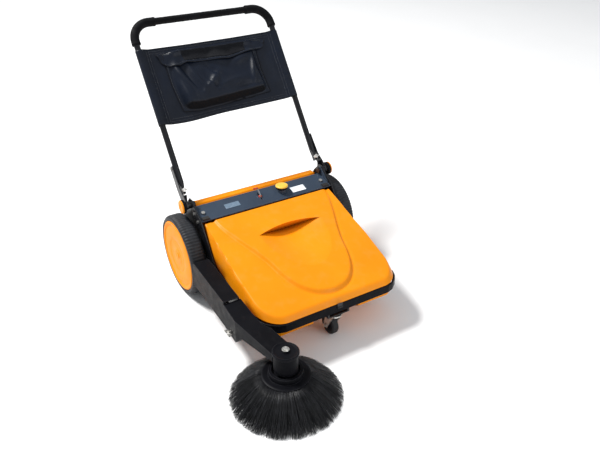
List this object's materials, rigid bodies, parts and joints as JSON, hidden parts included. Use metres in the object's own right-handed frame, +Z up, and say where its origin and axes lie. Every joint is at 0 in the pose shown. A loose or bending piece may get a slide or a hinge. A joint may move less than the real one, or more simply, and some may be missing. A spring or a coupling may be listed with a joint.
{
  "type": "walk-behind sweeper",
  "caption": "Push-operated floor sweeper with a folding push handle, lift-out hopper under a hinged hood, main brush, side brush arm and drive wheels.",
  "frame": {"origin": "on the floor, midway between the two drive wheels, under their axle", "axes": "+X to the machine's right as seen from in front, -Y forward, +Z up"},
  "size_m": [0.7985, 1.29, 0.9013],
  "materials": {
    "yellow": "smooth moulded plastic, slightly glossy",
    "dark_plastic": "fine-textured black plastic",
    "white_plastic": "plain gear plastic",
    "red_plastic": "small red moulding",
    "frame_black": "black powder coat",
    "console_blue": "dark blue-grey powder coat",
    "label": "blank pale label",
    "zinc": "zinc-plated steel",
    "steel": "turned steel",
    "rubber": "black rubber",
    "tyre": "moulded rubber tyre",
    "bristle": "black plastic bristles",
    "grip_foam": "soft foam grip",
    "nylon": "coated nylon fabric"
  },
  "bodies": {
    "chassis": {"left_side_plate": "frame_black", "right_side_plate": "frame_black", "stub_axles": "steel", "brush_bearings": "dark_plastic", "side_skirts": "rubber", "plate_bolts": "zinc", "console_plate": "console_blue", "console_labels": "label", "console_bolts": "zinc", "hood_stops": "rubber", "rear_cover": "yellow", "rear_skirt": "rubber", "front_bumper": "dark_plastic", "caster_mount": "frame_black", "wheel_belt": "rubber", "pivot_bolts": "frame_black"},
    "left_wheel": {"left_tyre": "tyre", "left_wheel_rim": "dark_plastic", "left_wheel_disc": "yellow"},
    "right_wheel": {"right_tyre": "tyre", "right_wheel_rim": "dark_plastic", "right_wheel_disc": "yellow"},
    "main_brush": {"brush_core": "dark_plastic", "brush_bristles": "bristle", "left_pinion": "white_plastic"},
    "right_pinion": {"right_pinion": "white_plastic"},
    "side_arm": {"arm_cover": "dark_plastic", "arm_front": "dark_plastic", "spindle_housing": "dark_plastic", "hub_cap": "dark_plastic", "arm_belt": "rubber"},
    "arm_bolt": {"arm_wing_bolt": "zinc"},
    "belt_shaft": {"arm_pulley_shaft": "steel"},
    "side_brush": {"brush_spindle": "steel", "side_brush_plate": "dark_plastic", "side_brush_bristles": "bristle"},
    "caster": {"caster_fork": "zinc"},
    "caster_roller": {"caster_wheel": "dark_plastic", "caster_tyre": "rubber"},
    "hopper": {"hopper_tub": "yellow", "hood_hinge_rod": "steel"},
    "hood": {"hood": "yellow"},
    "catch": {"hood_catch": "zinc"},
    "height_dial": {"height_knob": "dark_plastic", "height_knob_cap": "yellow"},
    "lever": {"lever_blade": "steel", "lever_grip": "red_plastic"},
    "handle": {"handle_tube": "frame_black", "middle_grip": "grip_foam", "elbow_grips": "grip_foam", "fabric_panel": "nylon", "pocket": "nylon", "handle_bars": "frame_black", "leg_screws": "zinc"},
    "left_knob": {"left_clamp_knob": "dark_plastic", "left_knob_face": "yellow"},
    "right_knob": {"right_clamp_knob": "dark_plastic", "right_knob_face": "yellow"},
    "left_wing": {"left_wing_bolt": "zinc"},
    "right_wing": {"right_wing_bolt": "zinc"}
  },
  "joints": [
    {"name": "left_wheel_spin", "type": "hinge", "parent": "chassis", "child": "left_wheel", "pos_m": [-0.315, 0, 0.15], "axis": [1, 0, 0], "continuous": true},
    {"name": "right_wheel_spin", "type": "hinge", "parent": "chassis", "child": "right_wheel", "pos_m": [0.315, 0, 0.15], "axis": [1, 0, 0], "continuous": true},
    {"name": "main_brush_spin", "type": "hinge", "parent": "chassis", "child": "main_brush", "pos_m": [0, -0.066, 0.12668], "axis": [1, 0, 0], "continuous": true},
    {"name": "right_pinion_spin", "type": "hinge", "parent": "chassis", "child": "right_pinion", "pos_m": [0.297, -0.066, 0.12668], "axis": [1, 0, 0], "continuous": true},
    {"name": "arm_lift", "type": "hinge", "parent": "chassis", "child": "side_arm", "pos_m": [-0.318, -0.18, 0.162], "axis": [-1, 0, 0], "range_deg": [0, 12]},
    {"name": "arm_bolt_turn", "type": "hinge", "parent": "side_arm", "child": "arm_bolt", "pos_m": [-0.353, -0.444, 0.11], "axis": [1, 0, 0], "continuous": true},
    {"name": "belt_shaft_spin", "type": "hinge", "parent": "chassis", "child": "belt_shaft", "pos_m": [-0.303, -0.18, 0.162], "axis": [1, 0, 0], "continuous": true},
    {"name": "side_brush_spin", "type": "hinge", "parent": "side_arm", "child": "side_brush", "pos_m": [-0.278, -0.676, 0.09], "axis": [0, 0, 1], "continuous": true},
    {"name": "caster_swivel", "type": "hinge", "parent": "chassis", "child": "caster", "pos_m": [0, -0.522, 0.095], "axis": [0, 0, 1], "continuous": true},
    {"name": "caster_roll", "type": "hinge", "parent": "caster", "child": "caster_roller", "pos_m": [0, -0.496, 0.037], "axis": [1, 0, 0], "continuous": true},
    {"name": "hopper_lift", "type": "slide", "parent": "chassis", "child": "hopper", "axis": [0, 0, 1], "range_m": [0, 0.25]},
    {"name": "hood_open", "type": "hinge", "parent": "hopper", "child": "hood", "pos_m": [0, -0.096, 0.278], "axis": [-1, 0, 0], "range_deg": [0, 70]},
    {"name": "catch_open", "type": "hinge", "parent": "chassis", "child": "catch", "pos_m": [0, -0.5518, 0.141], "axis": [1, 0, 0], "range_deg": [0, 60]},
    {"name": "height_dial_turn", "type": "hinge", "parent": "chassis", "child": "height_dial", "pos_m": [0.077, -0.04, 0.34], "axis": [0, 0, 1], "range_deg": [0, 270]},
    {"name": "lever_swing", "type": "hinge", "parent": "chassis", "child": "lever", "pos_m": [-0.015, -0.04, 0.302], "axis": [-1, 0, 0], "range_deg": [0, 15]},
    {"name": "handle_tilt", "type": "hinge", "parent": "chassis", "child": "handle", "pos_m": [0, -0.005, 0.345], "axis": [-1, 0, 0], "range_deg": [-125, 12]},
    {"name": "left_knob_turn", "type": "hinge", "parent": "chassis", "child": "left_knob", "pos_m": [-0.3, -0.005, 0.345], "axis": [1, 0, 0], "continuous": true},
    {"name": "right_knob_turn", "type": "hinge", "parent": "chassis", "child": "right_knob", "pos_m": [0.3, -0.005, 0.345], "axis": [1, 0, 0], "continuous": true},
    {"name": "left_wing_turn", "type": "hinge", "parent": "handle", "child": "left_wing", "pos_m": [-0.277, 0.03562, 0.38663], "axis": [0, 0.8049, -0.5934], "continuous": true},
    {"name": "right_wing_turn", "type": "hinge", "parent": "handle", "child": "right_wing", "pos_m": [0.277, 0.03562, 0.38663], "axis": [0, 0.8049, -0.5934], "continuous": true}
  ],
  "couplings": [
    {"joint": "main_brush_spin", "follows": "left_wheel_spin", "ratio": 3.3333},
    {"joint": "belt_shaft_spin", "follows": "left_wheel_spin", "ratio": 2.6},
    {"joint": "side_brush_spin", "follows": "left_wheel_spin", "ratio": 3.3429},
    {"joint": "right_pinion_spin", "follows": "right_wheel_spin", "ratio": 3.3333}
  ]
}
